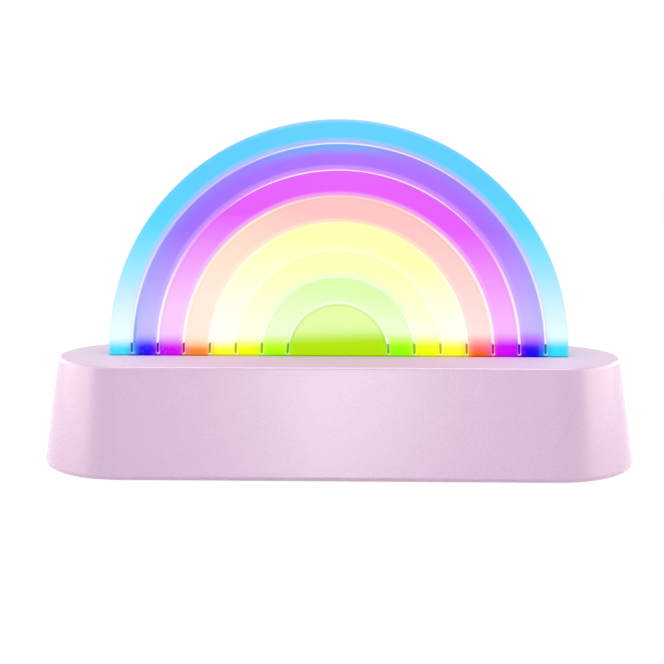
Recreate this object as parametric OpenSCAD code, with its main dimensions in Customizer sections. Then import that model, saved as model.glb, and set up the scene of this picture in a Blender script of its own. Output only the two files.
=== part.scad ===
// Rainbow lamp: a clear half disc, parted by arc cuts into lit bands, stands in a long round-ended base.
// Lengths are millimetres. X runs along the base, -Y is the front and +Z is up.
// The origin is the centre of the surface that the feet stand on.

/* [Base] */
// Length of the base at its lower edge
base_l = 200; // [190:1:240]
// Depth of the base at its lower edge
base_d = 60; // [58:0.5:80]
// Height of the moulded base without its feet
base_h = 36.4; // [36:0.2:50]
// How far the sides lean inwards from lower to upper edge
side_draft = 5.5; // [2:0.1:6]
// Thickness of the side walls
wall_t = 2.4; // [1.8:0.1:3]
// Thickness of the top
top_t = 2.8; // [2:0.1:4]
// Rounding of the upper edge
top_round = 1.2; // [0.4:0.1:2]
// Rounding of the lower edge
low_round = 1.5; // [0.4:0.1:2]

/* [Plate] */
// Radius of the half disc
plate_r = 77.1; // [74:0.1:84]
// Thickness of the plate
plate_t = 8; // [6:0.5:9]
// Height of the arcs' centre above the base's top
arc_lift = 1.3; // [1:0.1:4]
// Width of each of the plate's shoulders, which rest on the base
shoulder_w = 1.8; // [1:0.1:3]
// Length of the tongue below the base's top
tongue_l = 10; // [8:0.5:12]
// Chamfer on the plate's outer edges
plate_ease = 0.3; // [0.1:0.05:0.6]

/* [Cuts between the bands] */
// Number of arc cuts
kerf_count = 7; // [3:1:7]
// Radius of the innermost cut
kerf_first_r = 16.9; // [14:0.1:18]
// Width of the outermost band, outside the last cut
outer_band_w = 7.7; // [7:0.1:9]
// Width of a cut
kerf_w = 0.5; // [0.3:0.05:1]
// Chamfer on both mouths of a cut
kerf_ease = 0.25; // [0.05:0.05:0.4]
// Width of the notches in the tongue, below the cuts
notch_w = 1.6; // [1.4:0.1:2.2]
// Material left between a cut and the notch below it
bridge_h = 3.6; // [2.5:0.1:6]

/* [Light tray] */
// Thickness of the tray's flange
tray_flange_t = 2; // [1.5:0.1:3]
// Thickness of the tray's walls along the tongue
tray_wall_t = 3; // [2.6:0.1:4]
// Thickness of the walls between two colours
divider_t = 1; // [0.8:0.1:1.2]
// Thickness of the silicone grips
grip_t = 1; // [0.6:0.1:1.5]
// Length of a grip's legs along the tongue
grip_leg = 4; // [3:0.5:5]

/* [Boards] */
// Width of the long board
led_board_w = 15; // [14:0.5:18]
// Thickness of both boards
board_t = 1.6; // [1:0.1:2]
// Side of a lamp package
led_w = 3.5; // [2.8:0.1:3.6]
// Height of a lamp package
led_h = 1.6; // [1:0.1:1.7]
// Length of the control board
control_l = 48; // [46:1:56]
// Height of the control board above the cover
control_lift = 6.5; // [6:0.5:8]

/* [Button and inlet] */
// Distance from the middle to the button, and to the inlet
port_x = 11; // [10:0.5:12]
// Radius of the button's cap
button_r = 4.6; // [4:0.1:5]
// How far the cap stands out of the recess
button_proud = 1.2; // [0.9:0.1:1.4]
// Travel of the button
button_travel = 0.8; // [0.3:0.1:0.8]
// Half width of the recess at the back
recess_half_w = 23; // [20:0.5:26]
// Height of the recess
recess_h = 13; // [12:0.5:14]

/* [Cell] */
// Length of the cell
cell_l = 48; // [40:1:50]
// Width of the cell
cell_w = 30; // [24:1:30]
// Thickness of the cell
cell_t = 8; // [5:0.5:9]

/* [Cover and feet] */
// Thickness of the cover
cover_t = 2.2; // [2:0.1:3]
// How deep the cover sits inside the lower edge
cover_inset = 0.6; // [0.4:0.1:1]
// How far the feet stand out below the base
foot_proud = 0.8; // [0.5:0.1:2]
// Radius of a foot
foot_r = 5; // [4:0.5:6]
// Depth of the recess that a foot is stuck in
foot_recess = 0.6; // [0.3:0.1:0.8]

/* [Hidden] */
$fn = 96;

// Clearances
slot_gap = 0.15;      // between the plate's tongue and the slot in the base
pocket_gap = 0.3;     // between the tongue and the tray
seat_gap = 0.2;       // between the tray's rim and the base's top
cover_gap = 0.3;      // between the cover's edge and the base's wall
notch_gap = 0.4;      // above a divider, in its notch
led_gap = 0.3;        // between the lamp packages and the tongue
slide_gap = 0.08;     // around the button's cap and the switch's plunger
port_gap = 0.5;       // around the inlet in its opening
foot_gap = 0.1;       // around a foot in its recess
thread_gap = 0.05;    // between a screw's shank and its pilot hole
part_gap = 0.5;       // between neighbours that must not touch
cut = 1;              // how far a cutting solid runs past a face
pilot_spare = 0.6;    // how much deeper a pilot hole is than its screw

// Sizes of bought pieces: the inlet, and the rings that the cover's screws pull against
usb_w = 8.94;
usb_h = 3.26;
usb_d = 7.3;
usb_wall = 0.3;
cover_ring_h = 1.6;

// Levels, from the ground up
shell_z = foot_proud;
cover_z = shell_z + cover_inset;
cover_top = cover_z + cover_t;
boss_z = cover_top + cover_ring_h;
top_z = shell_z + base_h;
ceiling_z = top_z - top_t;
tongue_z = top_z - tongue_l;
led_board_top = tongue_z - led_gap - led_h;
led_board_z = led_board_top - board_t;
tray_flange_top = led_board_top + tray_flange_t;
arc_z = top_z + arc_lift;
control_z = cover_top + control_lift;
control_top = control_z + board_t;
port_z = control_top + usb_h / 2;

// Outline of the base
low_r = base_d / 2;
up_r = low_r - side_draft;
spine = base_l / 2 - low_r;
function outer_r(z) = low_r - side_draft * (z - shell_z) / base_h;
function inner_r(z) = outer_r(z) - wall_t;

// Bands and what stands below them
kerf_pitch = (plate_r - outer_band_w - kerf_first_r) / (kerf_count - 1);
kerf_r = [for (i = [0:kerf_count - 1]) kerf_first_r + i * kerf_pitch];
tongue_half = plate_r - shoulder_w;
band_edges = concat(kerf_r, [tongue_half]);
side_led_x = [for (i = [0:kerf_count - 1]) (band_edges[i] + band_edges[i + 1]) / 2];
middle_led_pitch = 9.5;
led_x = concat([-middle_led_pitch, 0, middle_led_pitch], side_led_x, -side_led_x);
kerf_foot_z = arc_z - kerf_w / 2;
notch_top = kerf_foot_z - bridge_h;

// Screws: shank radius, shank length, head radius, head height
small_screw = [0.75, 6, 1.9, 1.3];
tray_screw = [1.2, 7.5, 2.4, 1.6];
cover_screw = [1.45, 9, 2.7, 1.7];
small_hole_r = 1.1;
tray_hole_r = 1.5;
cover_hole_r = 1.75;
drive_w = 0.6;

// Tray and long board
pocket_half = plate_t / 2 + pocket_gap;
tray_half_w = pocket_half + tray_wall_t;
grip_outer = plate_t / 2 + grip_t;
grip_end = tongue_half + grip_t;
tray_end_t = 1.6;
tray_half_l = grip_end + tray_end_t;
end_boss_r = 2.6;
end_boss_top_gap = 2;
end_screw_x = tray_half_l + end_boss_r + part_gap;
led_board_half = end_screw_x + end_boss_r;
middle_screw_x = kerf_r[1];
middle_screw_y = pocket_half + tray_wall_t / 2;
led_board_screw_at = [
    [-end_screw_x, 0], [end_screw_x, 0],
    [-middle_screw_x, middle_screw_y], [middle_screw_x, -middle_screw_y]
];
tray_boss_r = 3;
tray_boss_x = 50;
tray_boss_y = led_board_w / 2 + 4 * part_gap + tray_screw[2];
tray_rim_z = ceiling_z - seat_gap;
tray_flange_half_w = led_board_w / 2 + part_gap;
tray_flange_half_l = led_board_half + part_gap;
tray_wing_half_w = tray_boss_y + tray_boss_r + part_gap;
tray_wing_half_l = tray_boss_x + tray_boss_r + part_gap;
divider_top = min(notch_top - notch_gap, tray_rim_z);
tray_boss_at = [for (x = [-1, 1], y = [-1, 1]) [x * tray_boss_x, y * tray_boss_y]];

// Cover's screws and bosses
cover_boss_r = 3.1;
cover_boss_from_end = 34;
cover_boss_x = base_l / 2 - cover_boss_from_end;
cover_boss_y = tray_wing_half_w + part_gap + cover_boss_r;
cover_boss_at = [for (x = [-1, 1], y = [-1, 1]) [x * cover_boss_x, y * cover_boss_y]];
cover_rib_t = 1.6;
cover_ring_r = 4.6;
cover_r = inner_r(cover_top) - cover_gap;
head_gap = 0.4;
counterbore_r = cover_screw[2] + head_gap;
head_inset = 0.3;
foot_from_end = 24;
foot_x = base_l / 2 - foot_from_end;
foot_y = 11;
foot_at = [for (x = [-1, 1], y = [-1, 1]) [x * foot_x, y * foot_y]];

// Back panel, button and switch
panel_depth = 0.5;
panel_y = outer_r(port_z + recess_h / 2) - panel_depth;
panel_inner_y = panel_y - wall_t;
panel_edge = 3;
recess_round = 2;
cap_round = 0.5;
flange_w = 1.4;
flange_r = button_r + flange_w;
flange_t = 1;
flange_y = panel_inner_y - flange_t;
stem_r = 1.6;
plunger_r = 1.7;
plunger_proud = 1;
switch_w = 7.4;
switch_h = 7;
switch_d = 5.5;
switch_back_t = 1;
plunger_z = control_top + switch_h / 2;
notch_y = flange_y - button_travel - 2 * part_gap;
switch_front = notch_y - 2 * part_gap;
plunger_tip = switch_front + plunger_proud;

// Control board: from in front of its connectors to the back panel
con_y = 4.5;
control_front_room = 8.5;
control_back = panel_inner_y - part_gap;
control_front = con_y - control_front_room;
control_hole_in = 3;
control_hole_back = 4;
control_hole_at = [
    for (x = [-1, 1], y = [control_front + control_hole_in, control_back - control_hole_back])
        [x * (control_l / 2 - control_hole_in), y]
];
post_r = 2.7;

// Pieces on the control board: sizes, and places across it and behind the connectors' axis
chip_size = [10, 4, 1.6];
chip_at = [-4, 0];
charger_size = [5, 4, 1.5];
charger_at = [port_x, 7];
cap_r = 2.4;
cap_h = 5.6;
cap_gap = 0.8;
cap_at = [1.3, 6];

// Inlet
usb_sunk = 0.8;
usb_mouth = panel_y - usb_sunk;

// Connectors and leads
con_w = 5;
con_l = 5.6;
con_h = 4.2;
con_wall = 0.5;
plug_fit = 0.1;
plug_l = 6.6;
plug_in = 4;
plug_out = plug_l - plug_in;
wire_r = 0.65;
wire_pitch = 2;
led_con_z = led_board_z - con_h / 2;
control_con_z = control_top + con_h / 2;
control_con_x = control_l / 2 - con_l;
led_con_x = control_l / 2 + plug_out + part_gap;
wire_stub = 2;
wire_back_x = led_con_x + con_l + plug_out + wire_stub;

// Cell and its clamp
pad_t = 1;
cell_gap = 0.3;
cell_z = cover_top + pad_t;
lead_room = 12;
cell_x = -(control_l / 2 + lead_room + cell_l / 2);
cell_round = cell_t * 0.375;
bracket_w = 8;
bracket_t = 1.2;
bracket_off = 10;
bracket_x = cell_x + bracket_off;
bracket_in = cell_w / 2 + cell_gap;
bracket_post_r = 2.5;
bracket_post_h = 3;
bracket_screw_l = 4;
bracket_screw = [small_screw[0], bracket_screw_l, small_screw[2], small_screw[3]];
bracket_screw_y = bracket_in + bracket_t + bracket_screw[2] + part_gap;
bracket_screw_at = [[bracket_x, -bracket_screw_y], [bracket_x, bracket_screw_y]];
bay_rib_h = 4;
bay_rib_l = 7;
bay_rib_t = 1.2;

// Shared shapes

module rounded_rect(w, h, r) {
    square([w - 2 * r, h], center = true);
    square([w, h - 2 * r], center = true);
    for (x = [-1, 1], y = [-1, 1])
        translate([x * (w / 2 - r), y * (h / 2 - r)])
            circle(r);
}

// Sweeps a half section, drawn at x >= 0, once around a straight spine with round ends
module round_ended(half_spine) {
    rotate([90, 0, 90])
        translate([0, 0, -half_spine])
            linear_extrude(2 * half_spine) {
                children();
                mirror([1, 0])
                    children();
            }
    for (side = [-1, 1])
        translate([side * half_spine, 0, 0])
            rotate([0, 0, -side * 90])
                rotate_extrude(angle = 180)
                    children();
}

module stadium_plate(half_spine, r, z, t) {
    translate([0, 0, z]) {
        translate([-half_spine, -r, 0])
            cube([2 * half_spine, 2 * r, t]);
        for (side = [-1, 1])
            translate([side * half_spine, 0, 0])
                cylinder(h = t, r = r);
    }
}

// Lays a shape drawn around Z along Y, pointing to the back
module to_back() {
    rotate([-90, 0, 0])
        children();
}

// A pan head below z = 0 with its shank above, driven from below
module pan_screw(size) {
    drive_l = 1.2 * size[2];
    cylinder(h = size[1], r = size[0]);
    difference() {
        translate([0, 0, -size[3]])
            cylinder(h = size[3], r = size[2]);
        for (turn = [0, 90])
            rotate([0, 0, turn])
                translate([-drive_l / 2, -drive_w / 2, -size[3] - cut])
                    cube([drive_l, drive_w, cut + size[3] / 2]);
    }
}

// A pilot hole up from z = 0, for a screw whose shank first passes through a sheet
module pilot_hole(size, sheet_t) {
    translate([0, 0, -cut])
        cylinder(h = cut + size[1] - sheet_t + pilot_spare, r = size[0] + thread_gap);
}

module at(points, z) {
    for (p = points)
        translate([p[0], p[1], z])
            children();
}

// Base

module base_section() {
    slope = sqrt(side_draft * side_draft + base_h * base_h);
    normal = [base_h, side_draft] / slope;
    up_x = up_r - top_round * (slope - side_draft) / base_h;
    low_x = low_r - low_round * (slope + side_draft) / base_h;
    up_c = [up_x, top_z - top_round];
    low_c = [low_x, shell_z + low_round];
    polygon([
        [0, shell_z], [low_x, shell_z], low_c + low_round * normal,
        up_c + top_round * normal, [up_x, top_z], [0, top_z]
    ]);
    translate(up_c)
        circle(top_round);
    translate(low_c)
        circle(low_round);
}

module cavity_section() {
    polygon([
        [0, shell_z - cut], [inner_r(shell_z - cut), shell_z - cut],
        [inner_r(ceiling_z), ceiling_z], [0, ceiling_z]
    ]);
}

module base_outside() {
    round_ended(spine)
        base_section();
}

// The wall is thicker behind the recess, from just above the cover to above the recess
module panel_backing() {
    w = 2 * (recess_half_w + panel_edge);
    z = cover_top + part_gap;
    intersection() {
        base_outside();
        translate([-w / 2, panel_inner_y, z])
            cube([w, low_r, port_z + recess_h / 2 + panel_edge - z]);
    }
}

module tray_bosses() {
    at(tray_boss_at, tray_flange_top)
        cylinder(h = ceiling_z - tray_flange_top + cut, r = tray_boss_r);
}

// Each cover boss has a rib that ties it to the side wall
module cover_bosses() {
    h = ceiling_z - boss_z + cut;
    intersection() {
        base_outside();
        union() {
            at(cover_boss_at, boss_z)
                cylinder(h = h, r = cover_boss_r);
            for (p = cover_boss_at)
                translate([p[0] - cover_rib_t / 2, p[1] > 0 ? p[1] : -low_r, boss_z])
                    cube([cover_rib_t, low_r - cover_boss_y, h]);
        }
    }
}

module base_shell() {
    color("#e6d2e1")
        difference() {
            union() {
                difference() {
                    base_outside();
                    round_ended(spine)
                        cavity_section();
                }
                panel_backing();
                tray_bosses();
                cover_bosses();
            }
            translate([-tongue_half - slot_gap, -plate_t / 2 - slot_gap, ceiling_z - cut])
                cube([2 * (tongue_half + slot_gap), plate_t + 2 * slot_gap, top_t + 2 * cut]);
            at(tray_boss_at, tray_flange_top)
                pilot_hole(tray_screw, tray_flange_t);
            at(cover_boss_at, boss_z)
                pilot_hole(cover_screw, 0);
            translate([0, panel_y, port_z])
                rotate([-90, 0, 0])
                    linear_extrude(low_r)
                        rounded_rect(2 * recess_half_w, recess_h, recess_round);
            translate([-port_x, panel_inner_y - cut, port_z])
                to_back()
                    cylinder(h = wall_t + 2 * cut, r = button_r + slide_gap);
            translate([port_x, panel_inner_y - cut, port_z])
                to_back()
                    stadium_plate((usb_w - usb_h) / 2, usb_h / 2 + port_gap, 0, wall_t + 2 * cut);
        }
}

// Plate

module plate_section() {
    x = plate_r;
    y = plate_t / 2;
    e = plate_ease;
    polygon([[0, -y], [x - e, -y], [x, e - y], [x, y - e], [x - e, y], [0, y]]);
}

// Half the width of a cut, from one mouth to the other
module kerf_half_section() {
    w = kerf_w / 2;
    y = plate_t / 2;
    e = kerf_ease;
    o = 0.1;
    polygon([
        [0, -y - o], [w + e + o, -y - o], [w, e - y], [w, y - e], [w + e + o, y + o], [0, y + o]
    ]);
}

module kerf(r) {
    translate([0, 0, arc_z])
        rotate([90, 0, 0]) {
            rotate_extrude(angle = 180)
                translate([r, 0]) {
                    kerf_half_section();
                    mirror([1, 0])
                        kerf_half_section();
                }
            for (side = [-1, 1])
                translate([side * r, 0, 0])
                    rotate_extrude($fn = 32)
                        kerf_half_section();
        }
}

module light_guide() {
    color("#f2f6c8", 0.8)
        difference() {
            union() {
                translate([0, 0, arc_z])
                    rotate([90, 0, 0])
                        rotate_extrude(angle = 180, $fn = 180)
                            plate_section();
                translate([0, 0, top_z])
                    linear_extrude(arc_lift) {
                        plate_section();
                        mirror([1, 0])
                            plate_section();
                    }
                translate([-tongue_half, -plate_t / 2, tongue_z])
                    cube([2 * tongue_half, plate_t, tongue_l]);
            }
            for (r = kerf_r)
                kerf(r);
            for (r = kerf_r, side = [-1, 1])
                translate([side * r - notch_w / 2, -plate_t / 2 - cut, tongue_z - cut])
                    cube([notch_w, plate_t + 2 * cut, notch_top - tongue_z + cut]);
        }
}

// Tray

module plate_grips() {
    leg_in = tongue_half - grip_leg;
    color("#f4f4f4")
        for (side = [-1, 1])
            on_side(side)
                difference() {
                    translate([leg_in, -grip_outer, tray_flange_top])
                        cube([grip_end - leg_in, 2 * grip_outer, tray_rim_z - tray_flange_top]);
                    translate([leg_in - cut, -plate_t / 2, tray_flange_top - cut])
                        cube([grip_leg + cut, plate_t, tongue_l + 2 * cut]);
                }
}

// Draws its children on the +X side, or mirrored on the -X side
module on_side(side) {
    if (side > 0)
        children();
    else
        mirror([1, 0, 0])
            children();
}

module light_tray() {
    boss_h = tray_rim_z - tray_flange_top - end_boss_top_gap;
    color("#f7f7f5")
        difference() {
            union() {
                difference() {
                    union() {
                        translate([-tray_flange_half_l, -tray_flange_half_w, led_board_top])
                            cube([2 * tray_flange_half_l, 2 * tray_flange_half_w, tray_flange_t]);
                        translate([-tray_wing_half_l, -tray_wing_half_w, led_board_top])
                            cube([2 * tray_wing_half_l, 2 * tray_wing_half_w, tray_flange_t]);
                        translate([-tray_half_l, -tray_half_w, led_board_top])
                            cube([2 * tray_half_l, 2 * tray_half_w, tray_rim_z - led_board_top]);
                        for (side = [-1, 1])
                            translate([side * end_screw_x, 0, led_board_top])
                                cylinder(h = tray_flange_t + boss_h, r = end_boss_r);
                    }
                    translate([-tongue_half - pocket_gap, -pocket_half, led_board_top - cut])
                        cube([2 * (tongue_half + pocket_gap), 2 * pocket_half, tray_rim_z]);
                    for (side = [-1, 1])
                        on_side(side)
                            translate([tongue_half - grip_leg - pocket_gap, -grip_outer, tray_flange_top])
                                cube([grip_leg + pocket_gap + grip_t, 2 * grip_outer, tray_rim_z]);
                }
                for (r = kerf_r, side = [-1, 1])
                    translate([side * r - divider_t / 2, -pocket_half - cut / 2, led_board_top])
                        cube([divider_t, 2 * pocket_half + cut, divider_top - led_board_top]);
            }
            at(tray_boss_at, led_board_top - cut)
                cylinder(h = tray_flange_t + 2 * cut, r = tray_hole_r);
            at(led_board_screw_at, led_board_top)
                pilot_hole(small_screw, board_t);
        }
}

module tray_screws() {
    color("#b9bcc0")
        at(tray_boss_at, led_board_top)
            pan_screw(tray_screw);
}

// Long board

module led_board() {
    color("#f3f3ee")
        difference() {
            translate([-led_board_half, -led_board_w / 2, led_board_z])
                cube([2 * led_board_half, led_board_w, board_t]);
            at(led_board_screw_at, led_board_z - cut)
                cylinder(h = board_t + 2 * cut, r = small_hole_r);
        }
}

module leds() {
    lens_r = led_w * 0.38;
    lens_depth = 0.3;
    color("#fff6d8")
        for (x = led_x)
            difference() {
                translate([x - led_w / 2, -led_w / 2, led_board_top])
                    cube([led_w, led_w, led_h]);
                translate([x, 0, led_board_top + led_h - lens_depth])
                    cylinder(h = lens_depth + cut, r = lens_r, $fn = 32);
            }
}

module led_resistors() {
    size = [2, 1.25, 0.6];
    edge = 1;
    color("#2b2b2d")
        for (x = side_led_x, side = [-1, 1])
            translate([side * x - size[0] / 2, -led_board_w / 2 + edge, led_board_z - size[2]])
                cube(size);
}

module led_board_screws() {
    color("#b9bcc0")
        at(led_board_screw_at, led_board_z)
            pan_screw(small_screw);
}

// Connectors: the mouth faces +X, and the middle of the mouth is at the origin

module con_socket() {
    difference() {
        translate([-con_l, -con_w / 2, -con_h / 2])
            cube([con_l, con_w, con_h]);
        translate([-plug_in - plug_fit, -con_w / 2 + con_wall, -con_h / 2 + con_wall])
            cube([plug_in + plug_fit + cut, con_w - 2 * con_wall, con_h - 2 * con_wall]);
    }
}

module con_plug() {
    w = con_w - 2 * con_wall - 2 * plug_fit;
    h = con_h - 2 * con_wall - 2 * plug_fit;
    translate([-plug_in, -w / 2, -h / 2])
        cube([plug_l, w, h]);
}

module led_sockets() {
    color("#efe9da") {
        translate([led_con_x + con_l, con_y, led_con_z])
            con_socket();
        translate([control_con_x + con_l, con_y, control_con_z])
            con_socket();
    }
}

module led_plugs() {
    color("#e4dcc8") {
        translate([led_con_x + con_l, con_y, led_con_z])
            con_plug();
        translate([control_con_x + con_l, con_y, control_con_z])
            con_plug();
    }
}

// Two leads leave the upper plug, turn down and come back to the lower one
module led_wires() {
    bend = (led_con_z - control_con_z) / 2;
    plug_end = con_l + plug_out;
    upper_start = led_con_x + plug_end;
    lower_start = control_con_x + plug_end;
    color("#d9d9d9")
        for (side = [-1, 1])
            translate([0, con_y + side * wire_pitch / 2, 0]) {
                translate([upper_start, 0, led_con_z])
                    rotate([0, 90, 0])
                        cylinder(h = wire_back_x - upper_start, r = wire_r, $fn = 24);
                translate([lower_start, 0, control_con_z])
                    rotate([0, 90, 0])
                        cylinder(h = wire_back_x - lower_start, r = wire_r, $fn = 24);
                translate([wire_back_x, 0, control_con_z + bend])
                    rotate([90, 0, 0])
                        rotate([0, 0, -90])
                            rotate_extrude(angle = 180, $fn = 48)
                                translate([bend, 0])
                                    circle(wire_r, $fn = 24);
            }
}

// Control board and what is on it

module control_board() {
    color("#2f6f4f")
        difference() {
            translate([-control_l / 2, control_front, control_z])
                cube([control_l, control_back - control_front, board_t]);
            translate([-port_x - flange_r - part_gap, notch_y, control_z - cut])
                cube([2 * (flange_r + part_gap), low_r, board_t + 2 * cut]);
            at(control_hole_at, control_z - cut)
                cylinder(h = board_t + 2 * cut, r = small_hole_r);
        }
}

module on_control_board(place) {
    translate([place[0], con_y + place[1], control_top])
        children();
}

module chip(size) {
    translate([-size[0] / 2, -size[1] / 2, 0])
        cube(size);
}

module control_chip() {
    color("#26262a")
        on_control_board(chip_at)
            chip(chip_size);
}

module charger_chip() {
    color("#26262a")
        on_control_board(charger_at)
            chip(charger_size);
}

module board_capacitors() {
    color("#3a3f55")
        for (side = [-1, 1])
            on_control_board(cap_at)
                translate([side * (cap_r + cap_gap / 2), 0, 0])
                    cylinder(h = cap_h, r = cap_r, $fn = 48);
}

module control_board_screws() {
    color("#b9bcc0")
        at(control_hole_at, control_top)
            mirror([0, 0, 1])
                pan_screw(small_screw);
}

module usb_outline(shrink) {
    r = usb_h / 2 - shrink;
    stadium_plate((usb_w - usb_h) / 2, r, 0, usb_d);
}

module usb_shell() {
    color("#c4c7cc")
        translate([port_x, usb_mouth - usb_d, port_z])
            to_back()
                difference() {
                    usb_outline(0);
                    past_both_ends()
                        usb_outline(usb_wall);
                }
}

// Lengthens a shape drawn along Z at both of its ends
module past_both_ends() {
    for (z = [-cut, cut])
        translate([0, 0, z])
            children();
}

module usb_tongue() {
    block_d = 1.8;
    tongue_w = 6.7;
    tongue_t = 0.7;
    tongue_sunk = 0.8;
    fit = 0.05;
    color("#1f1f22")
        translate([port_x, usb_mouth - usb_d, port_z])
            to_back() {
                stadium_plate((usb_w - usb_h) / 2, usb_h / 2 - usb_wall - fit, 0, block_d);
                translate([-tongue_w / 2, -tongue_t / 2, 0])
                    cube([tongue_w, tongue_t, usb_d - tongue_sunk]);
            }
}

module switch_body() {
    bore = plunger_r + slide_gap;
    color("#232326")
        difference() {
            translate([-port_x - switch_w / 2, switch_front - switch_d, control_top])
                cube([switch_w, switch_d, switch_h]);
            translate([-port_x, switch_front - switch_d + switch_back_t, plunger_z])
                to_back()
                    cylinder(h = switch_d, r = bore);
        }
}

module switch_plunger() {
    inner_end = switch_front - switch_d + switch_back_t + button_travel + part_gap;
    color("#f0f0f0")
        translate([-port_x, inner_end, plunger_z])
            to_back()
                cylinder(h = plunger_tip - inner_end, r = plunger_r);
}

module button_profile() {
    face = panel_y + button_proud - flange_y;
    square([button_r, face - cap_round]);
    square([button_r - cap_round, face]);
    translate([button_r - cap_round, face - cap_round])
        circle(cap_round, $fn = 48);
    square([flange_r, flange_t]);
}

module power_button() {
    color("#f1e4ee") {
        translate([-port_x, flange_y, port_z])
            to_back()
                rotate_extrude()
                    button_profile();
        translate([-port_x, plunger_tip, plunger_z])
            to_back()
                cylinder(h = flange_y - plunger_tip + flange_t / 2, r = stem_r);
    }
}

// Cell

module battery_socket() {
    color("#efe9da")
        translate([-control_l / 2, con_y, control_con_z])
            mirror([1, 0, 0])
                con_socket();
}

module battery_plug() {
    color("#e4dcc8")
        translate([-control_l / 2, con_y, control_con_z])
            mirror([1, 0, 0])
                con_plug();
}

// Two leads rise from the cell's end to the plug in two quarter turns
module battery_wires() {
    start_x = cell_x + cell_l / 2;
    start_z = cell_z + cell_t / 2;
    end_x = -control_l / 2 - plug_out;
    bend = min(control_con_z - start_z, end_x - start_x) / 2 - part_gap;
    rise_x = (start_x + end_x) / 2;
    color("#c8423c")
        for (side = [-1, 1])
            translate([0, con_y + side * wire_pitch / 2, 0]) {
                translate([start_x, 0, start_z])
                    rotate([0, 90, 0])
                        cylinder(h = rise_x - bend - start_x, r = wire_r, $fn = 24);
                translate([rise_x, 0, start_z + bend])
                    cylinder(h = control_con_z - start_z - 2 * bend, r = wire_r, $fn = 24);
                translate([rise_x + bend, 0, control_con_z])
                    rotate([0, 90, 0])
                        cylinder(h = end_x - rise_x - bend, r = wire_r, $fn = 24);
                translate([rise_x - bend, 0, start_z + bend])
                    rotate([90, 0, 0])
                        rotate([0, 0, -90])
                            quarter_bend(bend);
                translate([rise_x + bend, 0, control_con_z - bend])
                    rotate([90, 0, 0])
                        rotate([0, 0, 90])
                            quarter_bend(bend);
            }
}

module quarter_bend(bend) {
    rotate_extrude(angle = 90, $fn = 48)
        translate([bend, 0])
            circle(wire_r, $fn = 24);
}

module battery() {
    color("#aeb4bd")
        translate([cell_x - cell_l / 2, 0, cell_z + cell_t / 2])
            rotate([90, 0, 90])
                linear_extrude(cell_l)
                    rounded_rect(cell_w, cell_t, cell_round);
}

module battery_pad() {
    inset = cell_round;
    color("#3c3c40")
        translate([cell_x - cell_l / 2 + inset, -cell_w / 2 + inset, cover_top])
            cube([cell_l - 2 * inset, cell_w - 2 * inset, pad_t]);
}

module battery_bracket() {
    tab_z = cover_top + bracket_post_h;
    tab_half = bracket_screw_y + bracket_post_r;
    outer = bracket_in + bracket_t;
    color("#d9dadd")
        translate([bracket_x - bracket_w / 2, 0, 0])
            difference() {
                union() {
                    translate([0, -outer, cell_z + cell_t])
                        cube([bracket_w, 2 * outer, bracket_t]);
                    for (side = [0, 1])
                        mirror([0, side, 0]) {
                            translate([0, bracket_in, tab_z])
                                cube([bracket_w, bracket_t, cell_z + cell_t + bracket_t - tab_z]);
                            translate([0, bracket_in, tab_z])
                                cube([bracket_w, tab_half - bracket_in, bracket_t]);
                        }
                }
                for (side = [-1, 1])
                    translate([bracket_w / 2, side * bracket_screw_y, tab_z - cut])
                        cylinder(h = bracket_t + 2 * cut, r = small_hole_r);
            }
}

module bracket_screws() {
    color("#b9bcc0")
        at(bracket_screw_at, cover_top + bracket_post_h + bracket_t)
            mirror([0, 0, 1])
                pan_screw(bracket_screw);
}

// Cover and feet

// Four low ribs stop the cell at its ends, and leave the middle free for its leads
module bay_ribs() {
    near = cell_x + cell_l / 2 + cell_gap;
    far = cell_x - cell_l / 2 - cell_gap - bay_rib_t;
    for (x = [near, far], side = [-1, 1])
        translate([x, side * (cell_w / 2 - bay_rib_l / 2) - bay_rib_l / 2, cover_top - cut])
            cube([bay_rib_t, bay_rib_l, bay_rib_h + cut]);
}

module bottom_cover() {
    color("#dcc8d8")
        difference() {
            union() {
                stadium_plate(spine, cover_r, cover_z, cover_t);
                at(cover_boss_at, cover_z)
                    cylinder(h = boss_z - cover_z, r = cover_ring_r);
                at(control_hole_at, cover_z)
                    cylinder(h = control_z - cover_z, r = post_r);
                at(bracket_screw_at, cover_z)
                    cylinder(h = cover_t + bracket_post_h, r = bracket_post_r);
                bay_ribs();
            }
            at(cover_boss_at, cover_z - cut)
                cylinder(h = head_inset + cover_screw[3] + cut, r = counterbore_r);
            at(cover_boss_at, cover_z - cut)
                cylinder(h = boss_z - cover_z + 2 * cut, r = cover_hole_r);
            at(control_hole_at, control_z)
                mirror([0, 0, 1])
                    pilot_hole(small_screw, board_t);
            at(bracket_screw_at, cover_top + bracket_post_h)
                mirror([0, 0, 1])
                    pilot_hole(bracket_screw, bracket_t);
            at(foot_at, cover_z - cut)
                cylinder(h = foot_recess + cut, r = foot_r + foot_gap);
        }
}

module cover_screws() {
    color("#b9bcc0")
        at(cover_boss_at, cover_z + head_inset + cover_screw[3])
            pan_screw(cover_screw);
}

module rubber_feet() {
    color("#8e8a8f")
        at(foot_at, 0)
            cylinder(h = cover_z + foot_recess, r = foot_r);
}

base_shell();
light_guide();
plate_grips();
light_tray();
tray_screws();
led_board();
leds();
led_resistors();
led_board_screws();
led_sockets();
led_plugs();
led_wires();
control_board();
control_chip();
charger_chip();
board_capacitors();
control_board_screws();
usb_shell();
usb_tongue();
switch_body();
switch_plunger();
power_button();
battery_socket();
battery_plug();
battery_wires();
battery();
battery_pad();
battery_bracket();
bracket_screws();
bottom_cover();
cover_screws();
rubber_feet();
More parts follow.
